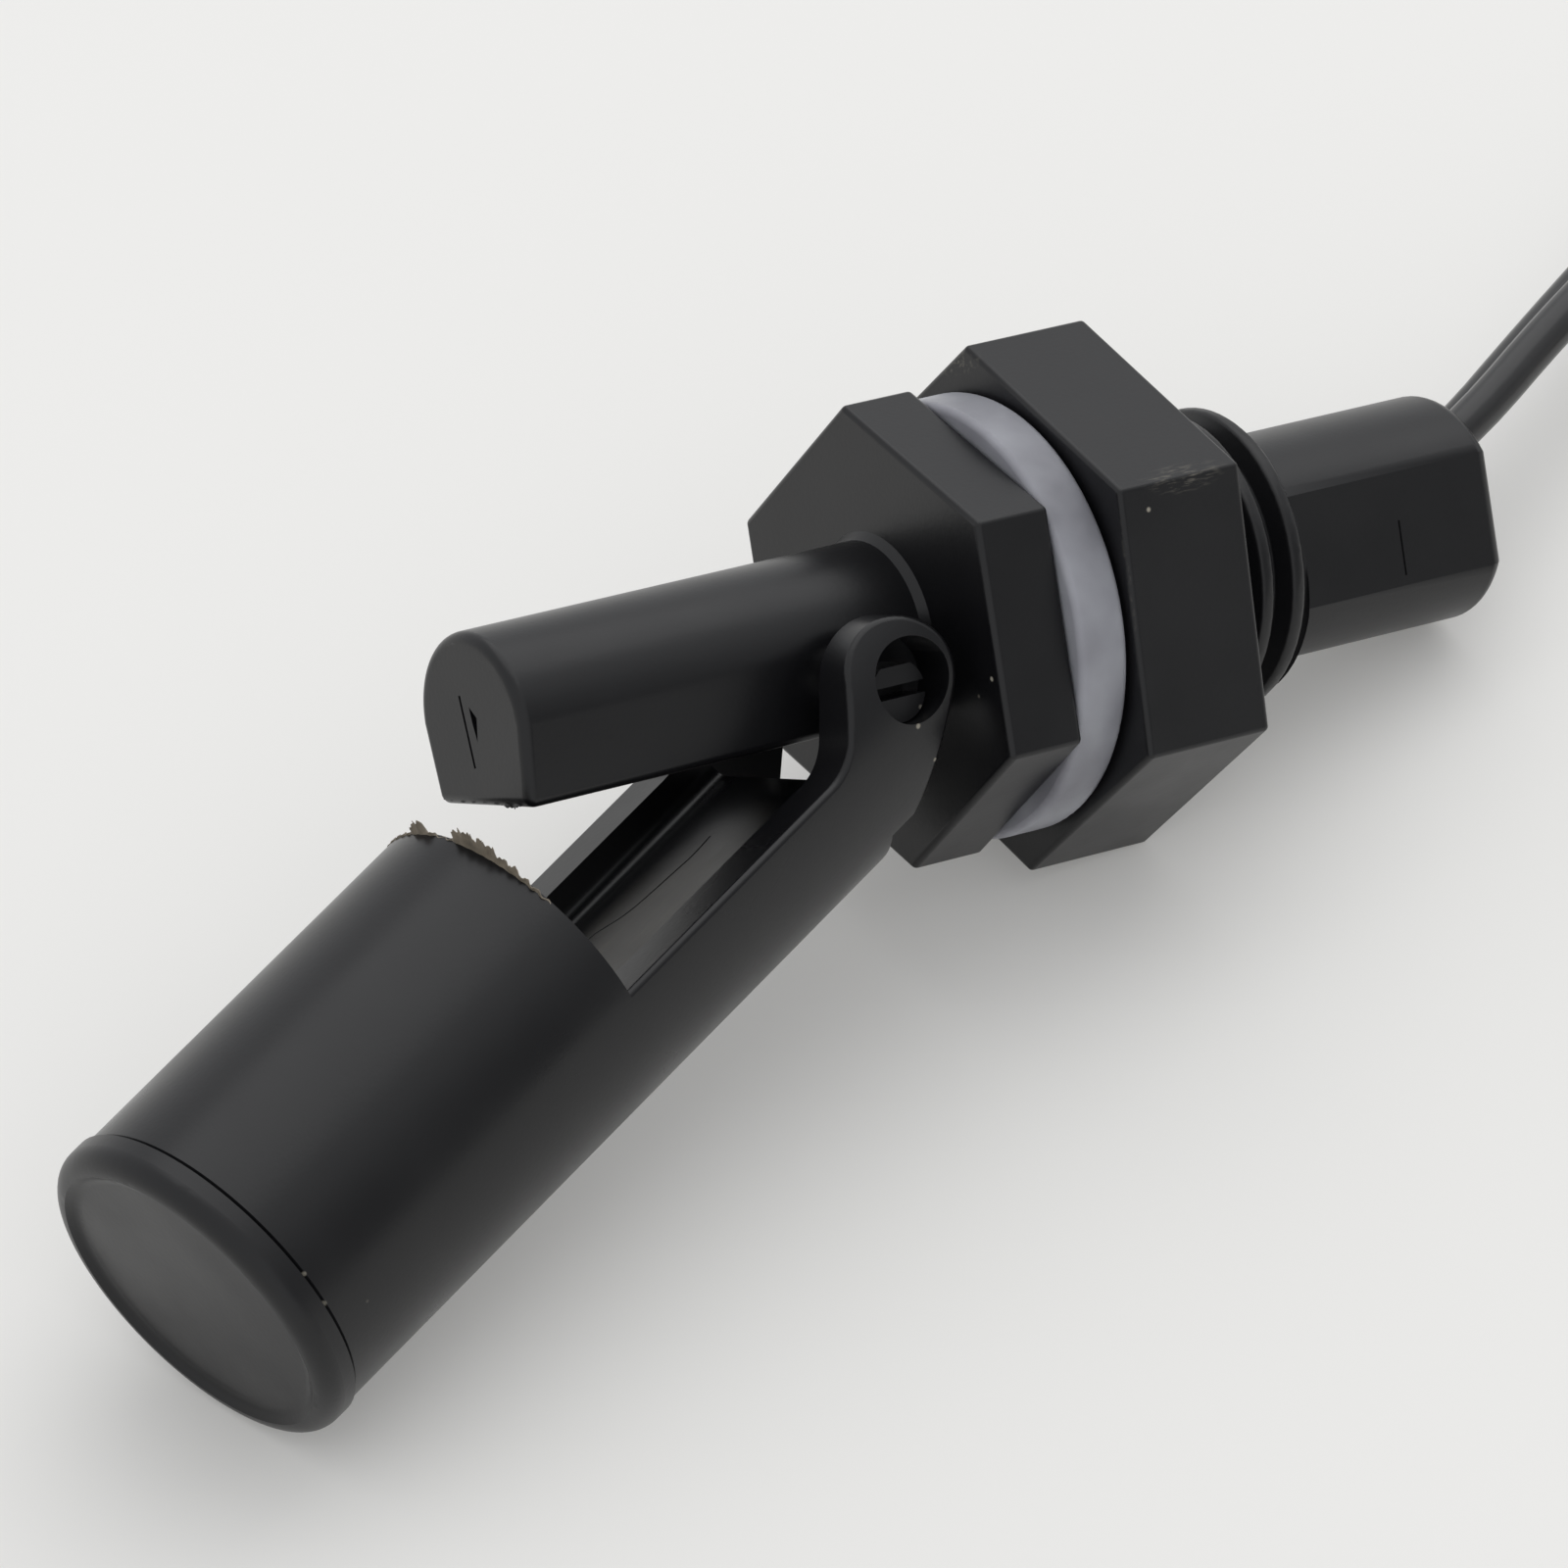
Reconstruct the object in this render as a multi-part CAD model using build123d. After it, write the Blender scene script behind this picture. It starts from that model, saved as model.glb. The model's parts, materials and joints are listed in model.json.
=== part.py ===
"""Side-mount float level switch: a moulded body with a stem, hexagon flange, M16 thread and cable boss,
a gasket and lock nut on the thread, and a hollow float with a magnet that swings on two split pivot pins.
A reed switch in the stem closes when the float's magnet comes near. Two loose leads leave the boss.

The pieces are drawn in the switch's own frame: X along the thread towards the leads, Y along the hinge,
Z up the stem's rounded side, origin on the thread axis at the flange's sealing face. They are then turned
to lie as the switch comes to rest on a table: on the nut's rear edge, the boss's end and the float's cap.
"""

import math
import os

from build123d import *

# Thread, flange, gasket and nut
THREAD_D = 16.0
THREAD_L = 18.0
THREAD_CHAMFER = 0.7
FLANGE_AF = 21.0
FLANGE_T = 4.5
FLANGE_ROUND = 0.35
GASKET_OD = 23.0
GASKET_T = 3.0
GASKET_ROUND = 0.4
GASKET_CLEAR = 0.1
NUT_AF = 24.0
NUT_T = 7.7
NUT_ROUND = 0.3
NUT_TURN = 3.0
NUT_LEAD_IN = 0.5
NUT_CLEAR = 0.15
NUT_GAP = 0.15

# Cable boss behind the thread
BOSS_D = 12.0
BOSS_L = 14.2
BOSS_FLATS = 10.4
BOSS_ROUND = 0.8

# Stem in front of the flange, an arch in section
STEM_L = 24.9
STEM_W = 9.5
STEM_RISE = 0.45
STEM_FLAT = 3.7
STEM_FOOT_W = 8.4
STEM_FOOT_ROUND = 0.5
STEM_TIP_ROUND = 0.6
STEM_COLLAR = 0.4

# Split pivot pins on the stem's sides
PIN_D = 3.2
PIN_SETBACK = 4.25
PIN_DROP = 1.75
PIN_SPAN = 15.2
PIN_TOP_FLAT = 1.3
PIN_SLOT = 0.65
PIN_SLOT_DEPTH = 2.0

# Float
FLOAT_D = 18.1
FLOAT_WALL = 1.4
FLOAT_SEAM = 46.0
NOTCH_FROM_HINGE = 22.9
NOTCH_WALL = 1.7
TROUGH_W = 12.5
TROUGH_RIM_DROP = 1.0
TROUGH_FLOOR_DROP = 3.0
TROUGH_FLOOR_END = 4.5
TROUGH_CORNER = 0.8
HULL_WALL = 1.6
SEAM_GROOVE = 0.25
EAR_R = 3.3
EAR_AHEAD = 0.45
EAR_RAISE = 0.3
EAR_HOLE_D = 4.5
EAR_FRONT_SLOPE = 50.6
EAR_REAR_SLOPE = 45.0
NECK_ROUND = 3.0
RIM_ROUND = 0.3
PIN_SEAT_CLEAR = 0.06

# Cap welded on the float's end
CAP_RIM = 0.2
CAP_D = FLOAT_D + 2 * CAP_RIM
CAP_T = 1.9
CAP_BEAD = 1.1
CAP_RAMP_W = 0.55
CAP_DISH = 0.4
CAP_DISC_ROUND = 0.8
CAP_SPIGOT_L = 4.0
CAP_SPIGOT_WALL = 1.2
CAP_CLEAR = 0.05

# Float magnet and its socket behind the notch wall
MAGNET_D = 8.0
MAGNET_L = 6.0
SOCKET_WALL = 1.2
SOCKET_CLEAR = 0.05

# Bores of the body, reed switch and wiring
TIP_WALL = 2.0
REED_BORE_D = 5.6
REED_BORE_RAISE = 0.6
WELL_D = 8.8
WELL_FLOOR = 1.0
POTTING_RECESS = 0.6
REED_D = 2.6
REED_L = 14.0
REED_GLASS_WALL = 0.45
REED_SEAL_L = 2.2
REED_RAISE = 0.8
REED_FROM_TIP = 3.4
REED_LEAD_D = 0.6
BLADE_W = 1.2
BLADE_T = 0.3
BLADE_LAP = 2.0
BLADE_GAP = 0.12
RETURN_D = 1.1
RETURN_BEND = 1.2
RETURN_TURN = 1.14
LEAD_JOG = 1.0
WIRE_PITCH = 2.4
SOLDER_X = 3.0
SOLDER_D = 1.5
SOLDER_L = 3.0
SLEEVE_D = 2.3
SLEEVE_OVERLAP = 0.5
CORE_D = 1.0
CORE_L = 3.0

# Leads: wire size, place in the boss's end, and the coil that holds their spare length
LEAD_D = 2.3
LEAD_PITCH = 2.35
LEAD_EXIT_SIDE = 0.85
LEAD_EXIT_RISE = 1.4
LEAD_EXIT_TILT = -20.0
LEAD_EXIT_DEPTH = 0.5
LEAD_EXIT_EASE = 0.3
ARC_SHARE = 0.45
COIL_X = 78.9
COIL_Y = 6.25
COIL_R = 13.8
COIL_W = 9.6
COIL_H = 4.8
COIL_CHAMFER = 1.0
COIL_LAST_TURN = 2.35
TAIL_L = 9.0
TAIL_ANGLE = -69.0
TAIL_SPLAY = 16.0
TIP_D = 1.1
TIP_L = 6.0

# Places that follow from the sizes above, along the thread axis
FLANGE_FACE = -FLANGE_T
STEM_TIP = FLANGE_FACE - STEM_L
NUT_FRONT = GASKET_T + NUT_GAP
NUT_REAR = NUT_FRONT + NUT_T
BOSS_END = THREAD_L + BOSS_L
HINGE = Vector(FLANGE_FACE - PIN_SETBACK, 0, -PIN_DROP)
FLOAT_R = FLOAT_D / 2
HOLE_PLAY = (EAR_HOLE_D - PIN_D) / 2 - PIN_SEAT_CLEAR
EXTRA = 1.0


def rest_pitch():
    """Angle at which one table plane touches the nut's rear edge and the rounded end of the boss."""
    nut = (NUT_REAR - NUT_ROUND, NUT_AF / 2 - NUT_ROUND)
    boss = (BOSS_END - BOSS_ROUND, BOSS_D / 2 - BOSS_ROUND)
    run, fall = boss[0] - nut[0], nut[1] - boss[1]
    return math.degrees(math.atan2(fall, run) - math.asin((BOSS_ROUND - NUT_ROUND) / math.hypot(run, fall)))


PITCH = rest_pitch()
REST = Rot(0, PITCH, 0) * Rot(-30 - NUT_TURN, 0, 0)


def at_rest(point):
    """A point of the switch's own frame, as the switch lies on the table."""
    return (REST * Pos(*point)).position


def table_height():
    """Height of the table under the nut's rear edge, measured from the origin."""
    lean = math.radians(PITCH)
    reach, drop = NUT_REAR - NUT_ROUND, NUT_AF / 2 - NUT_ROUND
    return -reach * math.sin(lean) - drop * math.cos(lean) - NUT_ROUND


TABLE = table_height()


def cap_height(hang):
    """Lowest height of the cap's rounded rim when the float hangs below the stem by this many degrees."""
    bead_ring = Vector(-FLOAT_SEAM - CAP_T + CAP_BEAD, 0, 0)
    pose = REST * Pos(HINGE.X, 0, HINGE.Z + HOLE_PLAY) * Rot(0, -hang, 0)
    centre = (pose * Pos(*bead_ring)).position
    axis = (pose * Pos(*(bead_ring - Vector(1, 0, 0)))).position - centre
    return centre.Z - (CAP_D / 2 - CAP_BEAD) * math.sqrt(1 - axis.Z**2) - CAP_BEAD


def hang_on_table():
    """Angle below the stem at which the hanging float's cap comes to rest on the table."""
    low, high = 0.0, 60.0
    for _ in range(60):
        middle = (low + high) / 2
        if cap_height(middle) > TABLE:
            low = middle
        else:
            high = middle
    return low


HANG = hang_on_table()
FLOAT_POSE = Pos(HINGE.X, 0, HINGE.Z + HOLE_PLAY) * Rot(0, -HANG, 0)


def rod(diameter, x_from, x_to, y=0.0, z=0.0):
    """A round bar along X between two places."""
    return Pos((x_from + x_to) / 2, y, z) * Rot(0, 90, 0) * Cylinder(diameter / 2, abs(x_to - x_from))


def cross_rod(diameter, span):
    """A round bar along Y, centred on the origin."""
    return Rot(90, 0, 0) * Cylinder(diameter / 2, span)


def hexagon(across_flats, x_from, x_to, turn=0.0):
    """A hexagon bar along X with a corner up."""
    outline = RegularPolygon(across_flats / 2, 6, major_radius=False, rotation=90 + turn)
    return extrude(Plane.YZ.offset(x_from) * outline, x_to - x_from)


def wire(diameter, points, radii):
    """A round wire along straight runs that are joined by arcs of these radii."""
    path = FilletPolyline(*points, radius=radii)
    start = Plane(path @ 0, z_dir=path % 0)
    return sweep(start * Circle(diameter / 2), path=path)


def arch_section():
    """The stem's section: a round top, sides that draw in a little and a flat foot with eased corners."""
    half, foot = STEM_W / 2, STEM_FOOT_W / 2
    top = ThreePointArc((-half, STEM_RISE), (0, STEM_RISE + half), (half, STEM_RISE))
    sides = Polyline((half, STEM_RISE), (foot, -STEM_FLAT), (-foot, -STEM_FLAT), (-half, STEM_RISE))
    face = make_face(Curve() + [top, sides])
    return fillet(face.vertices().sort_by(Axis.Y)[:2], STEM_FOOT_ROUND)


def pivot_pin(side):
    """One stub of the hinge, with a flat along its top and a slot that lets it give when the ear snaps on."""
    length = PIN_SPAN / 2
    stub = Pos(0, side * length / 2, 0) * cross_rod(PIN_D, length)
    top = Pos(0, side * length / 2, PIN_TOP_FLAT + PIN_D / 2) * Box(PIN_D, length, PIN_D)
    slot = Pos(0, side * (length - PIN_SLOT_DEPTH / 2), 0) * Box(PIN_D, PIN_SLOT_DEPTH, PIN_SLOT)
    return Pos(*HINGE) * (stub - top - slot)


def body_bores():
    """The narrow bore for the reed switch in the stem and the wide well for leads and resin behind it."""
    reed_bore = rod(REED_BORE_D, STEM_TIP + TIP_WALL, WELL_FLOOR, z=REED_BORE_RAISE)
    return reed_bore + rod(WELL_D, WELL_FLOOR, BOSS_END)


def body_moulding():
    """Stem, flange, thread blank, cable boss and both pivot pins, which are moulded as one piece."""
    stem = extrude(Plane.YZ * arch_section(), -FLANGE_T / 2 - STEM_L)
    stem = Pos(-FLANGE_T / 2, 0, 0) * stem
    stem = fillet(stem.faces().sort_by(Axis.X)[0].edges(), STEM_TIP_ROUND)
    footing = Plane.YZ.offset(FLANGE_FACE) * offset(arch_section(), STEM_COLLAR)
    collar = extrude(footing, -STEM_COLLAR, taper=45)
    flange = fillet(hexagon(FLANGE_AF, FLANGE_FACE, 0).edges(), FLANGE_ROUND) + collar
    thread = rod(THREAD_D, -FLANGE_T / 2, THREAD_L)
    thread = chamfer(thread.faces().sort_by(Axis.X)[-1].edges(), THREAD_CHAMFER)
    boss = rod(BOSS_D, THREAD_L - EXTRA, BOSS_END) & Box(4 * BOSS_END, BOSS_FLATS, BOSS_D)
    boss = fillet(boss.faces().sort_by(Axis.X)[-1].edges(), BOSS_ROUND)
    return stem + flange + thread + boss + pivot_pin(1) + pivot_pin(-1) - body_bores()


def gasket():
    """Silicone washer against the flange's sealing face."""
    ring = rod(GASKET_OD, 0, GASKET_T)
    ring = fillet(ring.edges(), GASKET_ROUND)
    return ring - rod(THREAD_D + 2 * GASKET_CLEAR, -EXTRA, GASKET_T + EXTRA)


def lock_nut():
    """Hexagon nut, finger tight against the gasket."""
    nut = fillet(hexagon(NUT_AF, NUT_FRONT, NUT_REAR, NUT_TURN).edges(), NUT_ROUND)
    nut -= rod(THREAD_D + 2 * NUT_CLEAR, NUT_FRONT - EXTRA, NUT_REAR + EXTRA)
    return chamfer(nut.edges().filter_by(GeomType.CIRCLE).filter_by(lambda edge: edge.radius > THREAD_D / 2),
                   NUT_LEAD_IN)


def arm_profile():
    """Side view of the float's two arms: trough rim, neck, round ear and slanted rear edge."""
    centre = Vector(-EAR_AHEAD, EAR_RAISE)
    front, rear = math.radians(EAR_FRONT_SLOPE), math.radians(EAR_REAR_SLOPE)
    front_touch = centre + EAR_R * Vector(-math.sin(front), math.cos(front))
    rear_touch = centre + EAR_R * Vector(math.sin(rear), -math.cos(rear))
    crown = centre + EAR_R * Vector(math.cos(rear), math.sin(rear))
    rim, foot = -TROUGH_RIM_DROP, -FLOAT_R - EXTRA
    neck = front_touch - Vector(math.cos(front), math.sin(front)) * (front_touch.Y - rim) / math.sin(front)
    heel = rear_touch - Vector(math.cos(rear), math.sin(rear)) * (rear_touch.Y - foot) / math.sin(rear)
    wall = -NOTCH_FROM_HINGE - NOTCH_WALL / 2
    lines = Polyline(rear_touch, heel, (wall, foot), (wall, rim), neck, front_touch)
    face = make_face(Curve() + [lines, ThreePointArc(front_touch, crown, rear_touch)])
    bend = face.vertices().sort_by_distance(neck)[0]
    return fillet(bend, NECK_ROUND)


def on_arm(edge):
    """Whether an edge lies on the round outside of one of the float's arms."""
    box = edge.bounding_box()
    radii = [math.hypot(edge.position_at(share).Y, edge.position_at(share).Z) for share in (0, 0.5, 1)]
    round_outside = all(math.isclose(radius, FLOAT_R, abs_tol=FLOAT_WALL / 100) for radius in radii)
    return round_outside and box.size.Y < FLOAT_R and abs(box.min.Y + box.max.Y) > TROUGH_W


def trough():
    """Room between the arms: flat-floored under the stem, and open right through behind the floor."""
    front, rear, behind = -NOTCH_FROM_HINGE, -TROUGH_FLOOR_END, EAR_R + EXTRA
    channel = Pos((front + rear) / 2, 0, FLOAT_R - TROUGH_FLOOR_DROP) * Box(rear - front, TROUGH_W, FLOAT_D)
    channel = fillet(channel.edges().filter_by(Axis.X).sort_by(Axis.Z)[:2], TROUGH_CORNER)
    return channel + Pos((rear + behind) / 2, 0, 0) * Box(behind - rear, TROUGH_W, FLOAT_D + EXTRA)


def float_arms():
    """Trough and the two arms beside it that end in ears, in the float's own frame at the ear holes' axis."""
    side_view = extrude(Plane.XZ * arm_profile(), FLOAT_R + EXTRA, both=True)
    arms = side_view & rod(FLOAT_D, -NOTCH_FROM_HINGE - NOTCH_WALL / 2, EAR_R + EXTRA)
    arms -= trough()
    return fillet(arms.edges().filter_by(on_arm), RIM_ROUND)


def hull_hollow():
    """Air room under the trough's floor, open to the float's tube."""
    front, rear = -NOTCH_FROM_HINGE - NOTCH_WALL - EXTRA, -TROUGH_FLOOR_END - HULL_WALL
    roof = -TROUGH_FLOOR_DROP - HULL_WALL
    below = Pos((front + rear) / 2, 0, roof - FLOAT_R) * Box(rear - front, FLOAT_D, FLOAT_D)
    return rod(FLOAT_D - 2 * HULL_WALL, front, rear) & below


def float_shell():
    """Float tube, closed towards the hinge by the notch wall with its magnet socket, and the arms."""
    inside = -NOTCH_FROM_HINGE - NOTCH_WALL
    tube = rod(FLOAT_D, -NOTCH_FROM_HINGE, -FLOAT_SEAM)
    tube = chamfer(tube.faces().sort_by(Axis.X)[0].edges(), SEAM_GROOVE)
    tube -= rod(FLOAT_D - 2 * FLOAT_WALL, inside, -FLOAT_SEAM - EXTRA)
    socket_bore = MAGNET_D + 2 * SOCKET_CLEAR
    socket = rod(socket_bore + 2 * SOCKET_WALL, inside, inside - MAGNET_L)
    socket -= rod(socket_bore, inside, inside - MAGNET_L - EXTRA)
    shell = tube + float_arms() - hull_hollow() - cross_rod(EAR_HOLE_D, FLOAT_D + EXTRA)
    return FLOAT_POSE * (shell + socket)


def float_cap():
    """End cap: a dished disc with a rounded bead round it, and a spigot inside the tube."""
    outer = CAP_D / 2
    disc = outer - CAP_BEAD - CAP_RAMP_W
    spigot = FLOAT_R - FLOAT_WALL - CAP_CLEAR
    spigot_bore = spigot - CAP_SPIGOT_WALL
    seam, face = -FLOAT_SEAM, -FLOAT_SEAM - CAP_T
    dish = face + CAP_DISH
    inner = seam + CAP_SPIGOT_L
    bead = CenterArc((face + CAP_BEAD, outer - CAP_BEAD), CAP_BEAD, 90, 90)
    crest = (face, outer - CAP_BEAD)
    around = Polyline(crest, (dish, disc), (dish, 0), (seam, 0), (seam, spigot_bore), (inner, spigot_bore),
                      (inner, spigot), (seam, spigot), (seam, outer), bead @ 0)
    section = make_face(Curve() + [bead, around])
    section = fillet(section.vertices().sort_by_distance((dish, disc))[0], CAP_DISC_ROUND)
    return FLOAT_POSE * revolve(section, Axis.X)


def float_magnet():
    """Bar magnet in its socket behind the notch wall."""
    start = -NOTCH_FROM_HINGE - NOTCH_WALL
    return FLOAT_POSE * rod(MAGNET_D, start, start - MAGNET_L)


REED_Z = REED_BORE_RAISE + REED_RAISE
REED_FRONT = STEM_TIP + REED_FROM_TIP + TIP_WALL
REED_REAR = REED_FRONT + REED_L
REED_MIDDLE = (REED_FRONT + REED_REAR) / 2
SOLDER_END = SOLDER_X + SOLDER_L
CORE_END = SOLDER_END + CORE_L


def reed_capsule():
    """Glass tube of the reed switch, sealed round its two leads."""
    glass = rod(REED_D, REED_FRONT, REED_REAR, z=REED_Z)
    glass = fillet(glass.edges(), REED_D / 4)
    inside = rod(REED_D - 2 * REED_GLASS_WALL, REED_FRONT + REED_SEAL_L, REED_REAR - REED_SEAL_L, z=REED_Z)
    leads = rod(REED_LEAD_D, REED_FRONT - EXTRA, REED_REAR + EXTRA, z=REED_Z)
    return glass - inside - leads


def reed_tongue(seal, reach, height):
    """Flat contact blade from a lead's seal past the capsule's middle, at a height beside the axis."""
    length = abs(reach - seal)
    return Pos((seal + reach) / 2, 0, REED_Z + height) * Box(length, BLADE_W, BLADE_T)


def reed_blades():
    """Both contact blades with their round leads; the rear lead steps over to its solder joint."""
    step = (BLADE_T + BLADE_GAP) / 2
    front_seal, rear_seal = REED_FRONT + REED_SEAL_L, REED_REAR - REED_SEAL_L
    front = rod(REED_LEAD_D, REED_FRONT - RETURN_BEND, front_seal, z=REED_Z)
    front += reed_tongue(front_seal, REED_MIDDLE + BLADE_LAP / 2, step)
    side = WIRE_PITCH / 2
    turn = (REED_REAR + SOLDER_X) / 2
    points = [(rear_seal, 0, REED_Z), (turn - LEAD_JOG, 0, REED_Z), (turn + LEAD_JOG, side, 0),
              (SOLDER_X, side, 0)]
    rear = wire(REED_LEAD_D, points, RETURN_BEND)
    rear += reed_tongue(rear_seal, REED_MIDDLE - BLADE_LAP / 2, -step)
    return front, rear


def return_lead():
    """Insulated link that turns back under the capsule and brings the front lead to its solder joint."""
    start, low = REED_FRONT - RETURN_BEND, REED_Z - 2 * RETURN_BEND
    front = start - RETURN_BEND
    side = -WIRE_PITCH / 2
    turn = (REED_REAR + SOLDER_X) / 2
    points = [(start, 0, REED_Z), (front, 0, REED_Z), (front, 0, low), (turn - LEAD_JOG, 0, low),
              (turn + LEAD_JOG, side, 0), (SOLDER_X, side, 0)]
    return wire(RETURN_D, points, [RETURN_TURN, RETURN_TURN, RETURN_BEND, RETURN_BEND])


def joint_pieces(side):
    """Solder joint, shrink sleeve over it and the stripped core of one lead."""
    y = side * WIRE_PITCH / 2
    solder = rod(SOLDER_D, SOLDER_X, SOLDER_END, y)
    sleeve = rod(SLEEVE_D, SOLDER_X - SLEEVE_OVERLAP, SOLDER_END + SLEEVE_OVERLAP, y)
    sleeve -= rod(SOLDER_D, SOLDER_X - EXTRA, SOLDER_END + EXTRA, y)
    core = rod(CORE_D, SOLDER_END, CORE_END, y)
    return solder, sleeve, core


def lead_route(side):
    """Points of one lead as it lies: in the boss, out of its end and down to the coil on the table."""
    tilt = math.radians(LEAD_EXIT_TILT)
    apart = side * LEAD_PITCH / 2
    first = Vector(CORE_END, side * WIRE_PITCH / 2, 0)
    last = Vector(BOSS_END - LEAD_EXIT_DEPTH, LEAD_EXIT_SIDE, LEAD_EXIT_RISE)
    last += apart * Vector(0, math.cos(tilt), math.sin(tilt))
    eased = first + LEAD_EXIT_EASE * (last - first)
    middle = Vector((first.X + last.X) / 2, eased.Y, eased.Z)
    inside = [at_rest(point) for point in (first, middle, last)]
    lower = [Vector(46.0, 8.9, -8.6), Vector(60.0, 15.0, -9.5), Vector(73.5, 20.2, -11.0)]
    upper = [Vector(46.5, 7.5, -6.8), Vector(60.8, 12.9, -8.5), Vector(74.4, 18.0, -11.0)]
    return inside + (lower if side > 0 else upper)


def bend_radii(points):
    """The largest arc that each corner's two runs allow."""
    radii = []
    for before, corner, after in zip(points, points[1:], points[2:]):
        arrive, leave = corner - before, after - corner
        half_turn = math.radians(arrive.get_angle(leave) / 2)
        radii.append(ARC_SHARE * min(arrive.length, leave.length) / math.tan(half_turn))
    return radii


def lead(side):
    """One insulated lead from its stripped core to the coil."""
    points = lead_route(side)
    radii = bend_radii(points)
    print("lead bend radii", [round(radius, 1) for radius in radii])
    return wire(LEAD_D, points, radii)


def lead_coil():
    """Outer form of the coil that both leads' spare length makes on the table."""
    section = Rectangle(COIL_W, COIL_H)
    section = Pos(COIL_R, 0) * chamfer(section.vertices(), COIL_CHAMFER)
    ring = revolve(Plane.XZ * section, Axis.Z)
    return Pos(COIL_X, COIL_Y, TABLE + COIL_H / 2) * ring


def tail_plane(side):
    """Where one lead's tail comes out of the coil's last turn, and the way it heads along the table."""
    angle = math.radians(TAIL_ANGLE)
    heading = angle - math.pi / 2 + (math.radians(TAIL_SPLAY) if side > 0 else 0)
    radius = COIL_R + COIL_LAST_TURN
    along = math.sqrt((COIL_R + COIL_W / 2) ** 2 - (radius + LEAD_PITCH / 2) ** 2)
    radius += side * LEAD_PITCH / 2
    start = Vector(COIL_X + radius * math.cos(angle), COIL_Y + radius * math.sin(angle), TABLE + LEAD_D / 2)
    return Plane(start, z_dir=(math.cos(heading), math.sin(heading), 0)).offset(along)


def lead_end(side):
    """Insulated tail and bare tinned tip of one lead, where it leaves the coil along the table."""
    tail = extrude(tail_plane(side) * Circle(LEAD_D / 2), TAIL_L)
    tip = extrude(tail_plane(side).offset(TAIL_L) * Circle(TIP_D / 2), TIP_L)
    return tail, tip


def resin(potted):
    """Cast resin that fills the bores round everything that is potted in them."""
    filling = body_bores() - rod(WELL_D + EXTRA, BOSS_END - POTTING_RECESS, BOSS_END + EXTRA)
    filling -= rod(REED_D - 2 * REED_GLASS_WALL, REED_FRONT + REED_SEAL_L, REED_REAR - REED_SEAL_L, z=REED_Z)
    for piece in potted:
        filling -= piece
    return filling


def build():
    """All pieces by node name, as they lie on the table."""
    shown = {
        "body_moulding": body_moulding(),
        "gasket": gasket(),
        "lock_nut": lock_nut(),
        "float_shell": float_shell(),
        "float_cap": float_cap(),
        "float_magnet": float_magnet(),
    }
    potted = {"reed_capsule": reed_capsule(), "return_lead": return_lead()}
    potted["reed_blade_front"], potted["reed_blade_rear"] = reed_blades()
    cord = {"lead_coil": lead_coil()}
    for name, side in (("a", 1), ("b", -1)):
        potted[f"solder_{name}"], potted[f"sleeve_{name}"], potted[f"core_{name}"] = joint_pieces(side)
        cord[f"lead_{name}"] = lead(side)
        cord[f"lead_tail_{name}"], cord[f"lead_tip_{name}"] = lead_end(side)
    pieces = {node: REST * piece for node, piece in (shown | potted).items()} | cord
    pieces["potting"] = REST * resin(potted.values()) - cord["lead_a"] - cord["lead_b"]
    return pieces


if __name__ == "__main__":
    os.makedirs("parts", exist_ok=True)
    for node, piece in build().items():
        export_step(piece, f"parts/{node}.step")
    print("pitch", round(PITCH, 3), "hang", round(HANG, 3), "table", round(TABLE, 3))
    print("hinge", at_rest(HINGE), "axis", at_rest((0, 1, 0)), "thread axis", at_rest((1, 0, 0)))
    print("thread end", at_rest((THREAD_L, 0, 0)), "nut rear", at_rest((NUT_REAR, 0, 0)))
    for side in (1, -1):
        print("tip", tail_plane(side).offset(TAIL_L + TIP_L / 2).origin, "heads", tail_plane(side).z_dir)
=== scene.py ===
import json
import math

import bmesh
import bpy
from mathutils import Matrix, Vector


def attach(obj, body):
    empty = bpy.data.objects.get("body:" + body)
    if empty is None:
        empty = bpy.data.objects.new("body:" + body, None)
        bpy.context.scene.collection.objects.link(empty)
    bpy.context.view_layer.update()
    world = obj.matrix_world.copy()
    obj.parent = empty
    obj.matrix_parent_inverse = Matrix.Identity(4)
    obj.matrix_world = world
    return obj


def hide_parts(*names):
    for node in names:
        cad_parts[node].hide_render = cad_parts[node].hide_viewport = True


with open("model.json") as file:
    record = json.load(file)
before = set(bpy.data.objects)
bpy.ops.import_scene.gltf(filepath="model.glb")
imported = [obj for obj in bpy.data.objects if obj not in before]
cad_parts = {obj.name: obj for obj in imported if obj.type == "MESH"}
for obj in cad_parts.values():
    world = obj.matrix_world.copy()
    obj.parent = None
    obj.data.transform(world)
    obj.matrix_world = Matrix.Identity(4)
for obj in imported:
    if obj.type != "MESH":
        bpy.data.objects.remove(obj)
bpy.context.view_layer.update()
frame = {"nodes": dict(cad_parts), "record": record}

# Body moulding: stem, hexagon flange, screw thread, cable boss and both split pivot pins in one piece.
# Injection-moulded black polypropylene. The thread comes out of a split mould, with blunt, rounded crests, and the
# mould leaves a setting-out line and a wedge in the stem's end, a short line in the boss and a ragged sliver of flash.
MM = 0.001
joints = {joint["name"]: joint for joint in frame["record"]["behaviour"]["joints"]}
along = Vector(joints["nut_run"]["axis"])
across = Vector(joints["float_swing"]["axis"])
lying = Matrix((along, across, along.cross(across))).transposed().to_4x4() @ Matrix.Scale(MM, 4)
THREAD_R = 8.0
THREAD_PITCH = 2.0
THREAD_FROM = 1.3
THREAD_TURNS = 9.2
GROOVE = [(-1.05, 0.12), (-0.98, 0.22), (-0.2, 0.56), (-0.08, 0.64), (-0.02, 0.75), (0.02, 0.96), (0.5, 0.96)]
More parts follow.
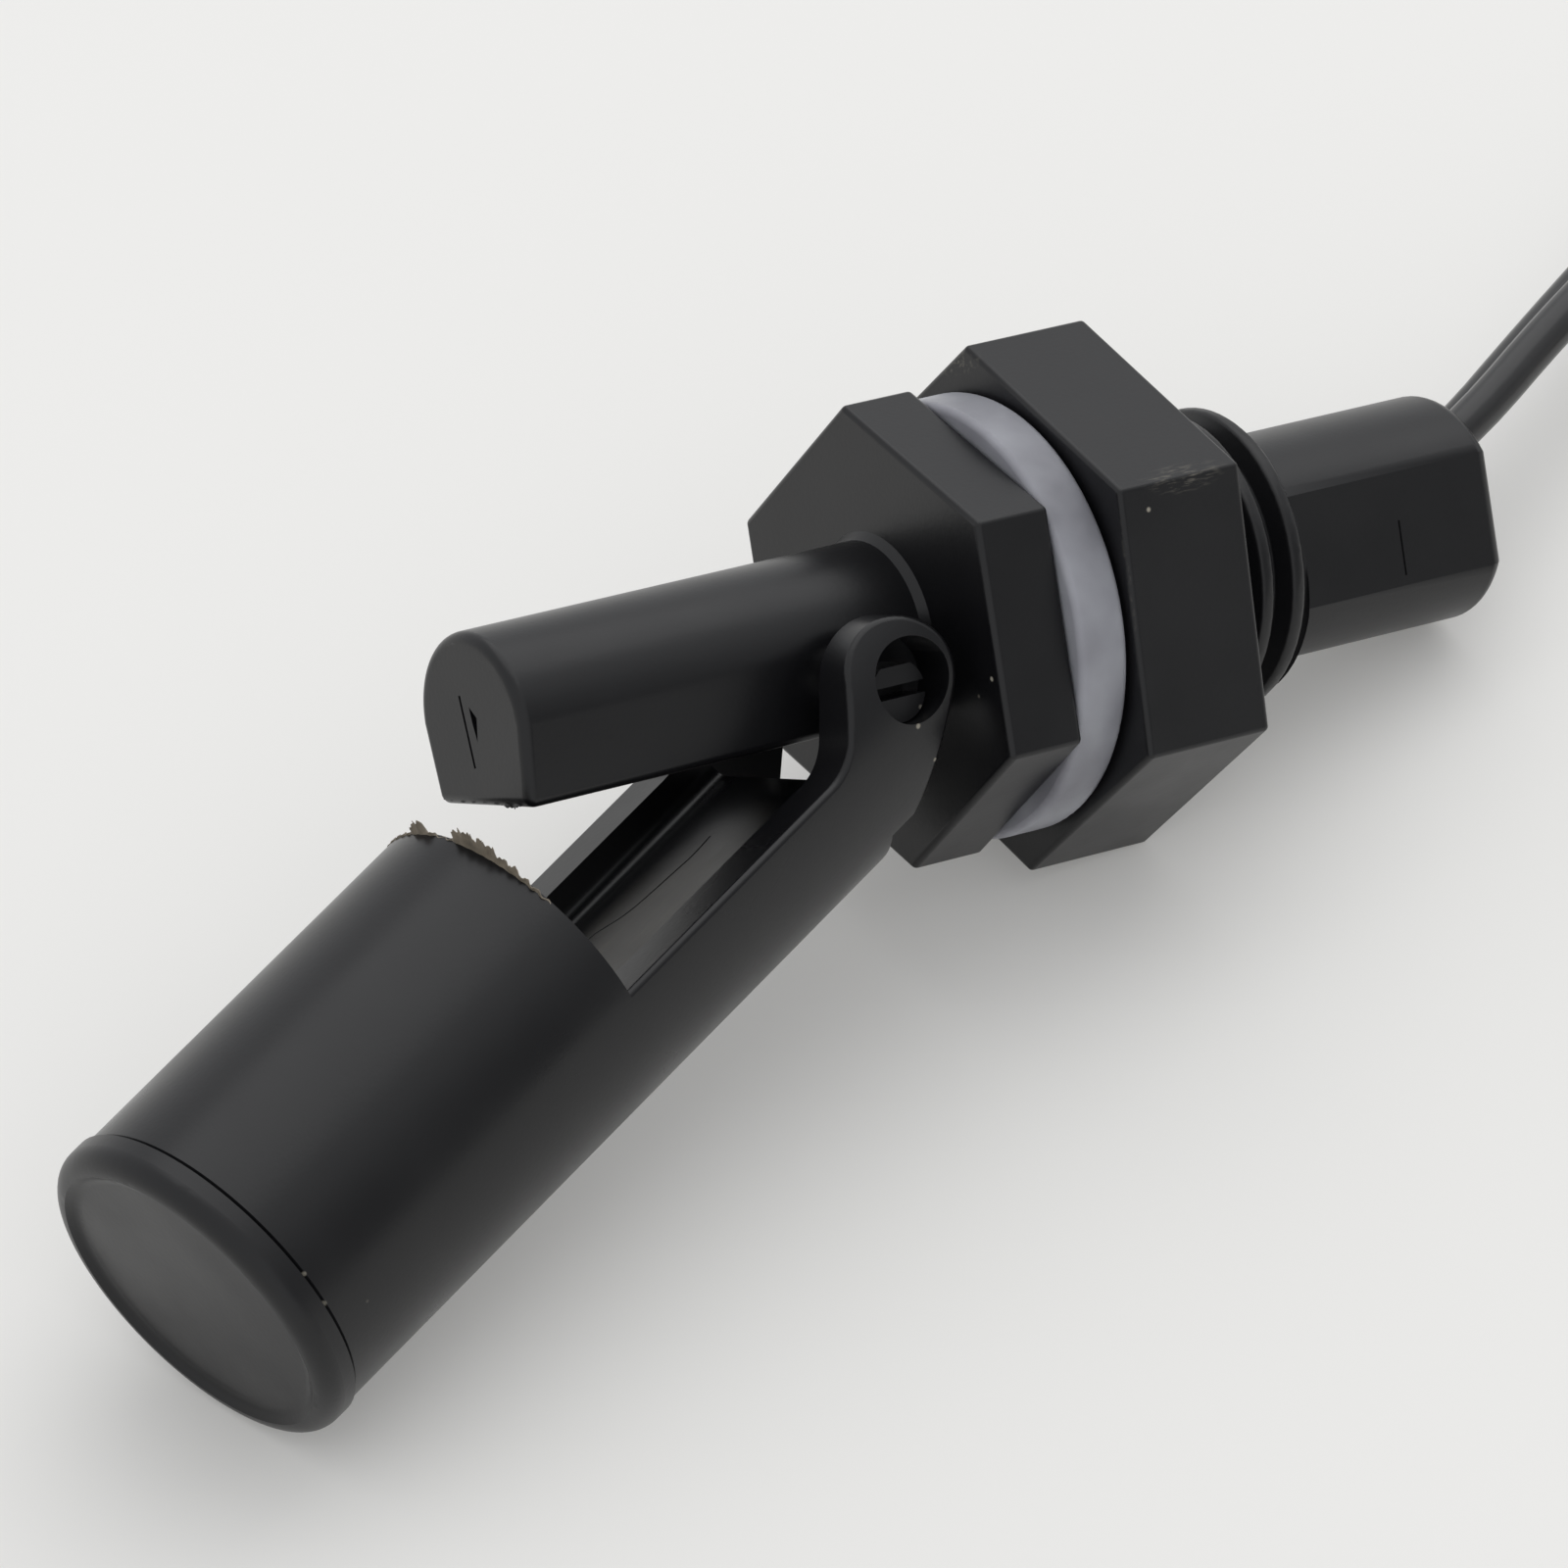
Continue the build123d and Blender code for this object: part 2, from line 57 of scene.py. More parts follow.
STEM_TIP_X = -29.4
BOSS_FLAT_Y = -5.2
MARK_DEPTH = 0.22
TIP_LINE = [(0.72, 1.97), (0.28, -1.73), 0.17]
TIP_WEDGE = [(-0.02, 1.42), (-0.12, 0.6), (-0.34, -0.4), (-0.6, 0.85)]
BOSS_LINE = [(25.64, 0.45), (25.62, -2.47), 0.13]
TIP_FLASH = [(4.0, 0.0), (2.6, 0.05), (1.7, 0.1), (0.9, 0.05), (-0.5, 0.06), (-1.3, 0.12), (-1.9, 0.2),
             (-2.3, 0.28), (-2.8, 0.22), (-3.3, 0.1), (-3.8, 0.0)]
TIP_FLASH_T = 0.12
TIP_FLASH_IN = 0.2
TIP_FLASH_LEAN = Vector((-0.15, 0, -1)).normalized()
STEM_FLAT_Z = -3.46
BODY_SPECKS = [((-4.5, -9.73, -1.94), 0.16), ((-2.1, -9.6, 3.4), 0.1)]


def add(tree, kind, inputs=(), **settings):
    """Adds a node with its settings; an input is a value, or another node's socket to link."""
    node = tree.nodes.new(kind)
    for name, value in settings.items():
        setattr(node, name, value)
    for socket, value in dict(inputs).items():
        if isinstance(value, bpy.types.NodeSocket):
            tree.links.new(value, node.inputs[socket])
        else:
            node.inputs[socket].default_value = value
    return node


def linear(hex_colour):
    """Linear RGBA of an sRGB hex colour."""
    parts = [int(hex_colour[i:i + 2], 16) / 255 for i in (1, 3, 5)]
    return [p / 12.92 if p <= 0.04045 else ((p + 0.055) / 1.055) ** 2.4 for p in parts] + [1.0]


def show(name, mesh, material=None):
    """A new object at the origin with that mesh."""
    piece = bpy.data.objects.new(name, mesh)
    bpy.context.collection.objects.link(piece)
    if material:
        mesh.materials.clear()
        mesh.materials.append(material)
    return piece


def merged_copy(node):
    """Mesh of a CAD node with its loose triangles joined."""
    source = bmesh.new()
    source.from_mesh(frame["nodes"][node].data)
    bmesh.ops.remove_doubles(source, verts=source.verts, dist=0.002 * MM)
    source.verts.index_update()
    mesh = bpy.data.meshes.new(node + "_copy")
    mesh.from_pydata([v.co for v in source.verts], [], [[v.index for v in f.verts] for f in source.faces])
    source.free()
    return mesh


def baked(piece):
    """Plain mesh of an object as its modifiers leave it; the modifiers go."""
    mesh = bpy.data.meshes.new_from_object(piece.evaluated_get(bpy.context.evaluated_depsgraph_get()))
    piece.modifiers.clear()
    return mesh


def blocks(name, boxes):
    """Mesh of plain boxes, each given by its eight corners, for cutting."""
    shape = bmesh.new()
    for corners in boxes:
        verts = [shape.verts.new(corner) for corner in corners]
        for face in ((0, 3, 2, 1), (4, 5, 6, 7), (0, 1, 5, 4), (1, 2, 6, 5), (2, 3, 7, 6), (3, 0, 4, 7)):
            shape.faces.new([verts[i] for i in face])
    bmesh.ops.recalc_face_normals(shape, faces=shape.faces)
    mesh = bpy.data.meshes.new(name)
    shape.to_mesh(mesh)
    shape.free()
    return mesh


def pocket(outline, depth, fixed, axis):
    """Corners of a four-sided cut into a flat face at that level of the axis."""
    levels = (fixed - depth, fixed + depth)
    return [(level, u, v) if axis == "x" else (u, level, v) for level in levels for u, v in outline]


def stroke(start, end, width):
    """Outline of a straight cut between two points of a flat face."""
    start, end = Vector(start), Vector(end)
    side = (end - start).orthogonal().normalized() * width / 2
    return [start - side, end - side, end + side, start + side]


def own_place(tree, frame_matrix):
    """Socket with the shaded point in a piece's own millimetres."""
    where = add(tree, "ShaderNodeTexCoord").outputs["Object"]
    rows = frame_matrix.inverted()
    parts = {}
    for name, row in zip("XYZ", rows):
        turned = add(tree, "ShaderNodeVectorMath", {0: where, 1: row[:3]}, operation="DOT_PRODUCT").outputs["Value"]
        parts[name] = add(tree, "ShaderNodeMath", {0: turned, 1: row[3]}, operation="ADD").outputs[0]
    return add(tree, "ShaderNodeCombineXYZ", parts).outputs[0]


def touched(tree, place, centre, reach):
    """Socket that is 1 at a place of the piece and falls to 0 at its reach in each direction."""
    offset = add(tree, "ShaderNodeVectorMath", {0: place, 1: centre}, operation="SUBTRACT").outputs[0]
    scaled = add(tree, "ShaderNodeVectorMath", {0: offset, 1: reach}, operation="DIVIDE").outputs[0]
    away = add(tree, "ShaderNodeVectorMath", {0: scaled}, operation="LENGTH").outputs["Value"]
    return add(tree, "ShaderNodeMapRange", {"Value": away, "From Min": 0.45, "From Max": 1.0, "To Min": 1.0,
                                            "To Max": 0.0}).outputs["Result"]


def flash_fin(name, foot, outward, across_wall, heights, thick):
    """Thin ragged fin of moulding flash along a line of foot points, sunk a little into the piece."""
    shape = bmesh.new()
    rows = []
    for order, (spot, way, height) in enumerate(zip(foot, outward, heights)):
        frayed = height * (1 + 0.16 * math.sin(2.3 * order) + 0.1 * math.sin(5.1 * order + 1))
        lean = across_wall * thick * 0.6 * math.sin(0.7 * order)
        low, high = spot - 0.12 * way, spot + max(frayed, 0.0) * way + lean
        half = across_wall * thick / 2
        rows.append([shape.verts.new(p) for p in (low - half, high - half / 3, high + half / 3, low + half)])
    for near, far in zip(rows, rows[1:]):
        for side in range(4):
            shape.faces.new((near[side], near[(side + 1) % 4], far[(side + 1) % 4], far[side]))
    shape.faces.new(rows[0])
    shape.faces.new(rows[-1])
    bmesh.ops.recalc_face_normals(shape, faces=shape.faces)
    mesh = bpy.data.meshes.new(name)
    shape.to_mesh(mesh)
    shape.free()
    return mesh


def along_profile(profile, count):
    """Evenly spaced (position, height) pairs along a list of them."""
    first, last = profile[0][0], profile[-1][0]
    pairs = []
    for step in range(count):
        at = first + (last - first) * step / (count - 1)
        for (a, low), (b, high) in zip(profile, profile[1:]):
            if min(a, b) <= at <= max(a, b):
                pairs.append((at, low + (high - low) * (at - a) / (b - a)))
                break
    return pairs


# Moulded polypropylene, black: satin, with a faint spark-eroded grain, slow waviness from shrinkage, patches that
# handling has polished or dulled, a little pale dust and pale scuffs. On the float one pale scuff is painted
# reflection, not wear. The grain is drawn at 0.25 mm so that it shows.
PATCH_MM = 7.0
WAVE_MM = 4.0
LINT_APART_MM = 3.2
# Colour of pale dust and scuffs; on the float's trough it is also the colour of a painted reflection.
DUST_AND_SHEEN_COLOUR = "#8f8a7e"


def black_polypropylene(name, frame_matrix, colour="#0c0c0e", grain_mm=0.25, roughness=(0.28, 0.38), dust=0.45,
                        specks=(), scuffs_and_sheen=()):
    material = bpy.data.materials.new(name)
    material.use_nodes = True
    tree = material.node_tree
    shader = tree.nodes["Principled BSDF"]
    where = add(tree, "ShaderNodeTexCoord").outputs["Object"]
    patches = add(tree, "ShaderNodeTexNoise", {"Vector": where, "Scale": 1000 / PATCH_MM, "Detail": 4.0}).outputs["Fac"]
    grain = add(tree, "ShaderNodeTexNoise", {"Vector": where, "Scale": 1000 / grain_mm, "Detail": 2.0}).outputs["Fac"]
    waves = add(tree, "ShaderNodeTexNoise", {"Vector": where, "Scale": 1000 / WAVE_MM, "Detail": 1.0}).outputs["Fac"]
    spots = add(tree, "ShaderNodeTexVoronoi", {"Vector": where, "Scale": 1000 / LINT_APART_MM})
    speck = add(tree, "ShaderNodeMapRange", {"Value": spots.outputs["Distance"], "From Min": 0.022, "From Max": 0.045,
                                             "To Min": 1.0, "To Max": 0.0}).outputs["Result"]
    chosen = add(tree, "ShaderNodeSeparateColor", {"Color": spots.outputs["Color"]}).outputs["Red"]
    few = add(tree, "ShaderNodeMath", {0: chosen, 1: 0.8}, operation="GREATER_THAN").outputs[0]
    dust_and_sheen = add(tree, "ShaderNodeMath", {0: speck, 1: few}, operation="MULTIPLY").outputs[0]
    dust_and_sheen = add(tree, "ShaderNodeMath", {0: dust_and_sheen, 1: dust}, operation="MULTIPLY").outputs[0]
    place = own_place(tree, frame_matrix)
    for centre, size in specks:
        mote = touched(tree, place, centre, (size, size, size))
        dust_and_sheen = add(tree, "ShaderNodeMath", {0: dust_and_sheen, 1: mote}, operation="MAXIMUM").outputs[0]
    # Pale scuffs: on the nut, rubbed wear; on the float, a pale patch of painted reflection on the trough's floor.
    for centre, reach, scratch, least, most in scuffs_and_sheen:
        patch = touched(tree, place, centre, reach)
        drawn = add(tree, "ShaderNodeVectorMath", {0: place, 1: scratch}, operation="DIVIDE").outputs[0]
        lines = add(tree, "ShaderNodeTexNoise", {"Vector": drawn, "Scale": 1.0, "Detail": 3.0}).outputs["Fac"]
        lines = add(tree, "ShaderNodeMapRange", {"Value": lines, "From Min": 0.5, "From Max": 0.72,
                                                 "To Min": least, "To Max": most}).outputs["Result"]
        rubbed_and_sheen = add(tree, "ShaderNodeMath", {0: patch, 1: lines}, operation="MULTIPLY").outputs[0]
        dust_and_sheen = add(tree, "ShaderNodeMath", {0: dust_and_sheen, 1: rubbed_and_sheen}, operation="MAXIMUM").outputs[0]
    deep = linear(colour)
    pale = [1.35 * part for part in deep[:3]] + [1.0]
    base = add(tree, "ShaderNodeMix", {"Factor": patches, 6: deep, 7: pale}, data_type="RGBA").outputs[2]
    base = add(tree, "ShaderNodeMix", {"Factor": dust_and_sheen, 6: base, 7: linear(DUST_AND_SHEEN_COLOUR)}, data_type="RGBA").outputs[2]
    worn = add(tree, "ShaderNodeMapRange", {"Value": patches, "From Min": 0.3, "From Max": 0.7,
                                            "To Min": roughness[0], "To Max": roughness[1]}).outputs["Result"]
    low = add(tree, "ShaderNodeBump", {"Height": waves, "Strength": 0.12, "Distance": 0.02 * MM}).outputs["Normal"]
    fine = add(tree, "ShaderNodeBump", {"Height": grain, "Normal": low, "Strength": 0.6,
                                        "Distance": 0.008 * MM}).outputs["Normal"]
    dull = add(tree, "ShaderNodeMath", {0: dust_and_sheen, 1: 0.5, 2: worn}, operation="MULTIPLY_ADD").outputs[0]
    tree.links.new(base, shader.inputs["Base Color"])
    tree.links.new(dull, shader.inputs["Roughness"])
    tree.links.new(fine, shader.inputs["Normal"])
    shader.inputs["IOR"].default_value = 1.49
    shader.inputs["Specular IOR Level"].default_value = 0.41
    return material


def screw_groove():
    """Geometry Nodes tree that sweeps a groove's section along a helix."""
    tree = bpy.data.node_groups.new("screw_groove", "GeometryNodeTree")
    sizes = {}
    for name, kind in (("Section", "NodeSocketObject"), ("Radius", "NodeSocketFloat"), ("Pitch", "NodeSocketFloat"),
                       ("Turns", "NodeSocketFloat"), ("Material", "NodeSocketMaterial")):
        sizes[name] = tree.interface.new_socket(name, in_out="INPUT", socket_type=kind).identifier
    tree.interface.new_socket("Geometry", in_out="OUTPUT", socket_type="NodeSocketGeometry")
    given = add(tree, "NodeGroupInput").outputs
    rise = add(tree, "ShaderNodeMath", {0: given["Pitch"], 1: given["Turns"]}, operation="MULTIPLY").outputs[0]
    helix = add(tree, "GeometryNodeCurveSpiral", {"Resolution": 48, "Rotations": given["Turns"],
                                                  "Start Radius": given["Radius"], "End Radius": given["Radius"],
                                                  "Height": rise}).outputs[0]
    upright = add(tree, "GeometryNodeSetCurveNormal", {"Curve": helix}, mode="Z_UP").outputs[0]
    section = add(tree, "GeometryNodeObjectInfo", {"Object": given["Section"]}).outputs["Geometry"]
    swept = add(tree, "GeometryNodeCurveToMesh", {"Curve": upright, "Profile Curve": section, "Fill Caps": True})
    whole = add(tree, "GeometryNodeRealizeInstances", {"Geometry": swept.outputs[0]}).outputs[0]
    finish = add(tree, "GeometryNodeSetMaterial", {"Geometry": whole, "Material": given["Material"]}).outputs[0]
    add(tree, "NodeGroupOutput", {"Geometry": finish})
    return tree, sizes


body_plastic = black_polypropylene("moulded_polypropylene_body", lying, specks=BODY_SPECKS)
section_curve = bpy.data.curves.new("groove_section", "CURVE")
section_line = section_curve.splines.new("POLY")
outline = GROOVE + [(radial, -half) for radial, half in reversed(GROOVE)]
section_line.points.add(len(outline) - 1)
for point, (radial, half) in zip(section_line.points, outline):
    point.co = (-radial, half, 0, 1)
section_line.use_cyclic_u = True
groove_section = show("groove_section", section_curve)
cutter = show("groove_cutter", bpy.data.meshes.new("groove_cutter"))
tree, sizes = screw_groove()
sweep = cutter.modifiers.new("sweep", "NODES")
sweep.node_group = tree
for name, value in (("Section", groove_section), ("Radius", THREAD_R), ("Pitch", THREAD_PITCH),
                    ("Turns", THREAD_TURNS), ("Material", body_plastic)):
    sweep[sizes[name]] = value
groove = baked(cutter)
groove.transform(Matrix.Translation((THREAD_FROM, 0, 0)) @ Matrix.Rotation(math.radians(90), 4, "Y"))
helix_tidy = bmesh.new()
helix_tidy.from_mesh(groove)
bmesh.ops.recalc_face_normals(helix_tidy, faces=helix_tidy.faces)
helix_tidy.to_mesh(groove)
helix_tidy.free()
cutter.data = groove
marks = [
    pocket(stroke(*TIP_LINE), MARK_DEPTH, STEM_TIP_X, "x"),
    pocket(TIP_WEDGE, MARK_DEPTH, STEM_TIP_X, "x"),
    pocket(stroke(*BOSS_LINE), MARK_DEPTH / 3, BOSS_FLAT_Y, "y"),
]
scriber = show("mark_cutter", blocks("mark_cutter", marks))
body = show("switch_body", merged_copy("body_moulding"))
body.data.transform(lying.inverted())
for tool in (cutter, scriber):
    cut = body.modifiers.new("cut", "BOOLEAN")
    cut.operation, cut.solver, cut.object = "DIFFERENCE", "MANIFOLD", tool
body.data = baked(body)
body.data.transform(lying)
for tool in (cutter, scriber, groove_section):
    bpy.data.objects.remove(tool)
body.data.materials.clear()
body.data.materials.append(body_plastic)
body.data.shade_smooth()
body.data.set_sharp_from_angle(angle=math.radians(32))
body.modifiers.new("even_shading", "WEIGHTED_NORMAL").keep_sharp = True
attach(body, "switch")
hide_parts("body_moulding")
edge = along_profile(TIP_FLASH, 70)
fin = flash_fin("stem_flash", [Vector((STEM_TIP_X + TIP_FLASH_IN, y, STEM_FLAT_Z)) for y, height in edge],
                [TIP_FLASH_LEAN] * len(edge), Vector((1, 0, 0)), [height for y, height in edge], TIP_FLASH_T)
fin.transform(lying)
tip_fin = show("stem_flash", fin, body_plastic)
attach(tip_fin, "switch")


# Reed switch and its wiring: a drawn glass capsule with two plated nickel-iron blades, soldered to the leads.
# All of it is hidden in the stem and the boss, under cast epoxy whose dull face shows at the boss's open end.
def plain_finish(name, colour, roughness, metallic=0.0, mottle_mm=1.0, contrast=0.25, bump=0.02):
    """Material with a slight mottling of its colour and a fine bump."""
    material = bpy.data.materials.new(name)
    material.use_nodes = True
    tree = material.node_tree
    shader = tree.nodes["Principled BSDF"]
    where = add(tree, "ShaderNodeTexCoord").outputs["Object"]
    mottle = add(tree, "ShaderNodeTexNoise", {"Vector": where, "Scale": 1000 / mottle_mm, "Detail": 3.0}).outputs["Fac"]
    tone = linear(colour)
    dark = [(1 - contrast) * part for part in tone[:3]] + [1.0]
    base = add(tree, "ShaderNodeMix", {"Factor": mottle, 6: dark, 7: tone}, data_type="RGBA").outputs[2]
    uneven = add(tree, "ShaderNodeBump", {"Height": mottle, "Strength": 0.5, "Distance": bump * MM}).outputs["Normal"]
    tree.links.new(base, shader.inputs["Base Color"])
    tree.links.new(uneven, shader.inputs["Normal"])
    shader.inputs["Roughness"].default_value = roughness
    shader.inputs["Metallic"].default_value = metallic
    return material


def dress(node, material):
    """Gives a CAD node its material."""
    slots = frame["nodes"][node].material_slots
    for slot in slots:
        slot.material = material
    if not slots:
        frame["nodes"][node].data.materials.append(material)


# Drawn glass, faintly green: clear, smooth.
reed_glass = plain_finish("drawn_glass", "#c9dccd", 0.05, mottle_mm=4.0, contrast=0.08, bump=0.0)
reed_glass.node_tree.nodes["Principled BSDF"].inputs["Transmission Weight"].default_value = 0.9
reed_glass.node_tree.nodes["Principled BSDF"].inputs["IOR"].default_value = 1.5
dress("reed_capsule", reed_glass)
# Nickel iron, plated: warm grey metal with drawn streaks.
nickel_iron = plain_finish("plated_nickel_iron", "#b5b2aa", 0.3, metallic=1.0, mottle_mm=0.4)
dress("reed_blade_front", nickel_iron)
dress("reed_blade_rear", nickel_iron)
# Glass-fibre sleeving: off-white, matt.
dress("return_lead", plain_finish("fibre_sleeving", "#d8d5ca", 0.7, mottle_mm=0.3))
# Tin-lead solder: bright, puddled.
solder = plain_finish("soft_solder", "#b9bbbf", 0.22, metallic=1.0, mottle_mm=0.8, bump=0.05)
# Polyolefin shrink sleeve: black, half matt.
sleeving = plain_finish("shrunk_polyolefin", "#1c1c1d", 0.5, mottle_mm=0.6)
# Tinned copper: pale grey, soft shine.
tinned = plain_finish("tinned_copper", "#c2c0ba", 0.28, metallic=1.0, mottle_mm=0.5, contrast=0.3, bump=0.03)
for end in ("a", "b"):
    dress("solder_" + end, solder)
    dress("sleeve_" + end, sleeving)
    dress("core_" + end, tinned)
# Cast epoxy: black, dull, with a slow skin ripple.
dress("potting", plain_finish("cast_epoxy", "#1a1a1b", 0.38, mottle_mm=2.2, bump=0.12))

# Leads: two loose stranded wires in extruded soft black insulation, potted in the boss and side by side out of it.
# Their spare length lies wound up on the table beside the switch, and each ends in twisted, tinned strands.
LEAD_D = 2.3
LEAD_PITCH = 2.35
BOSS_END = 32.2
LEADS_FROM = 9.0
WIRES_APART = 2.4
EXIT = (BOSS_END - 0.5, 0.85, 1.4)
EXIT_TILT = math.radians(-20.0)
EXIT_EASE = 0.3
TABLE = -14.455
COIL_CENTRE = (78.9, 6.25)
COIL_ENTRY = math.radians(110.9)
COIL_TURN = math.radians(900.0)
COIL_STEP = math.radians(22.5)
COIL_RADII = (13.8, 11.45, 16.15)
COIL_OUTER = 18.6
TAIL = 9.0
TAIL_SPLAY = {1: math.radians(16.0), -1: 0.0}
TIP = 6.0
TIP_D = 1.1
LOWER = [(46.0, 8.9, -8.6), (60.0, 15.0, -9.5), (73.5, 20.2, -11.0)]
UPPER = [(46.5, 7.5, -6.8), (60.8, 12.9, -8.5), (74.4, 18.0, -11.0)]


def ease(value, start, end):
    """Smooth step from 0 at start to 1 at end."""
    share = min(max((value - start) / (end - start), 0.0), 1.0)
    return share * share * (3 - 2 * share)


def tail_line(side):
    """Start and heading of the straight tail of one lead, past the coil's last turn."""
    angle = COIL_ENTRY - COIL_TURN
    radius = COIL_RADII[2] + side * LEAD_PITCH / 2
    heading = angle - math.pi / 2 + TAIL_SPLAY[side]
    start = Vector((COIL_CENTRE[0] + radius * math.cos(angle), COIL_CENTRE[1] + radius * math.sin(angle),
                    TABLE + LEAD_D / 2))
    clear = math.sqrt(COIL_OUTER ** 2 - (COIL_RADII[2] + LEAD_PITCH / 2) ** 2)
    return start, Vector((math.cos(heading), math.sin(heading), 0)), clear


def lead_points(side):
    """Control points of one lead, in metres: in the boss, out of it, down to the table and round the coil."""
    first = Vector((LEADS_FROM, side * WIRES_APART / 2, 0))
    last = Vector(EXIT) + side * LEAD_PITCH / 2 * Vector((0, math.cos(EXIT_TILT), math.sin(EXIT_TILT)))
    eased = first + EXIT_EASE * (last - first)
    points = [lying @ p for p in (first, Vector(((first.x + last.x) / 2, eased.y, eased.z)), last)]
    points += [MM * Vector(p) for p in (LOWER if side > 0 else UPPER)]
    reach = 1 / math.cos(COIL_STEP / 2)
    for step in range(1, round(COIL_TURN / COIL_STEP) + 1):
        turned = step * COIL_STEP
        degrees = math.degrees(turned)
        radius = COIL_RADII[0] + (COIL_RADII[1] - COIL_RADII[0]) * ease(degrees, 180, 260)
        radius += (COIL_RADII[2] - COIL_RADII[1]) * ease(degrees, 560, 660)
        radius = reach * (radius + side * LEAD_PITCH / 2)
        layer = TABLE + LEAD_D / 2 + LEAD_PITCH * (1 - ease(degrees, 250, 345))
        angle = COIL_ENTRY - turned
        points.append(MM * Vector((COIL_CENTRE[0] + radius * math.cos(angle),
                                   COIL_CENTRE[1] + radius * math.sin(angle), layer)))
    start, heading, clear = tail_line(side)
    points += [MM * (start + heading * length) for length in (clear, clear + TAIL / 2, clear + TAIL)]
    return points


def twisted_strands():
    """Geometry Nodes tree that lays strands of wire round each other along a straight tip."""
    tree = bpy.data.node_groups.new("twisted_strands", "GeometryNodeTree")
    sizes = {}
    for name, kind in (("Strands", "NodeSocketInt"), ("Strand radius", "NodeSocketFloat"),
                       ("Lay radius", "NodeSocketFloat"), ("Length", "NodeSocketFloat"),
                       ("Turns", "NodeSocketFloat"), ("Material", "NodeSocketMaterial")):
        sizes[name] = tree.interface.new_socket(name, in_out="INPUT", socket_type=kind).identifier
    tree.interface.new_socket("Geometry", in_out="OUTPUT", socket_type="NodeSocketGeometry")
    given = add(tree, "NodeGroupInput").outputs
    helix = add(tree, "GeometryNodeCurveSpiral",
                {"Resolution": 24, "Rotations": given["Turns"], "Start Radius": given["Lay radius"],
                 "End Radius": given["Lay radius"], "Height": given["Length"]}).outputs[0]
    core = add(tree, "GeometryNodeCurvePrimitiveLine", {"End": (0, 0, 1)})
    stretch = add(tree, "ShaderNodeCombineXYZ", {"X": 1.0, "Y": 1.0, "Z": given["Length"]}).outputs[0]
    core = add(tree, "GeometryNodeTransform", {"Geometry": core.outputs[0], "Scale": stretch}).outputs[0]
    round_wire = add(tree, "GeometryNodeCurvePrimitiveCircle",
                     {"Resolution": 10, "Radius": given["Strand radius"]}).outputs[0]
    outer = add(tree, "GeometryNodeCurveToMesh",
                {"Curve": helix, "Profile Curve": round_wire, "Fill Caps": True}).outputs[0]
    inner = add(tree, "GeometryNodeCurveToMesh",
                {"Curve": core, "Profile Curve": round_wire, "Fill Caps": True}).outputs[0]
    spots = add(tree, "GeometryNodePoints", {"Count": given["Strands"]}).outputs[0]
    order = add(tree, "GeometryNodeInputIndex").outputs[0]
    share = add(tree, "ShaderNodeMath", {0: order, 1: given["Strands"]}, operation="DIVIDE").outputs[0]
    turn = add(tree, "ShaderNodeMath", {0: share, 1: 2 * math.pi}, operation="MULTIPLY").outputs[0]
    spin = add(tree, "ShaderNodeCombineXYZ", {"Z": turn}).outputs[0]
    lay = add(tree, "GeometryNodeInstanceOnPoints", {"Points": spots, "Instance": outer, "Rotation": spin}).outputs[0]
    both = add(tree, "GeometryNodeJoinGeometry")
    tree.links.new(lay, both.inputs[0])
    tree.links.new(inner, both.inputs[0])
    whole = add(tree, "GeometryNodeRealizeInstances", {"Geometry": both.outputs[0]}).outputs[0]
    finish = add(tree, "GeometryNodeSetMaterial", {"Geometry": whole, "Material": given["Material"]}).outputs[0]
    add(tree, "NodeGroupOutput", {"Geometry": finish})
    return tree, sizes


# Tie round the coil: a narrow band of thin black vinyl tape, wrapped tightly over the six runs and stuck to itself.
# It lies close on the upper pair of runs and bridges the hollows between them and the lower four.
TIE_ANGLE = COIL_ENTRY - math.radians(75.0)
TIE_W = 3.4
TIE_T = 0.3
TIE_ROUND = [(8.95, 0.14), (8.85, 1.3), (9.1, 2.1), (11.1, 4.35), (11.5, 4.69), (12.0, 4.88), (12.6, 4.95),
             (15.0, 4.95), (15.6, 4.88), (16.1, 4.69), (16.5, 4.35), (18.5, 2.1), (18.75, 1.3), (18.65, 0.14),
             (13.8, 0.14)]
TIE_CENTRE = Vector((13.8, 2.4))
outward = Vector((math.cos(TIE_ANGLE), math.sin(TIE_ANGLE), 0))
sideways = Vector((-outward.y, outward.x, 0))
band = bmesh.new()
loops = []
for outer in TIE_ROUND:
    inner = Vector(outer) + TIE_T * (TIE_CENTRE - Vector(outer)).normalized()
    corners = []
    for (radius, height), half in ((outer, -1), (outer, 1), (inner, 1), (inner, -1)):
        spot = Vector((*COIL_CENTRE, TABLE + height)) + radius * outward + half * TIE_W / 2 * sideways
        corners.append(band.verts.new(MM * spot))
    loops.append(corners)
for near, far in zip(loops, loops[1:] + loops[:1]):
    for side in range(4):
        band.faces.new((near[side], near[(side + 1) % 4], far[(side + 1) % 4], far[side]))
bmesh.ops.recalc_face_normals(band, faces=band.faces)
band_mesh = bpy.data.meshes.new("coil_tie")
band.to_mesh(band_mesh)
band.free()
# Thin vinyl tape, black: half matt, slightly crinkled.
coil_tie = show("coil_tie", band_mesh, plain_finish("thin_vinyl_tape", "#242425", 0.42, mottle_mm=1.2, bump=0.06))
band_mesh.shade_smooth()
band_mesh.set_sharp_from_angle(angle=math.radians(60))
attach(coil_tie, "switch")

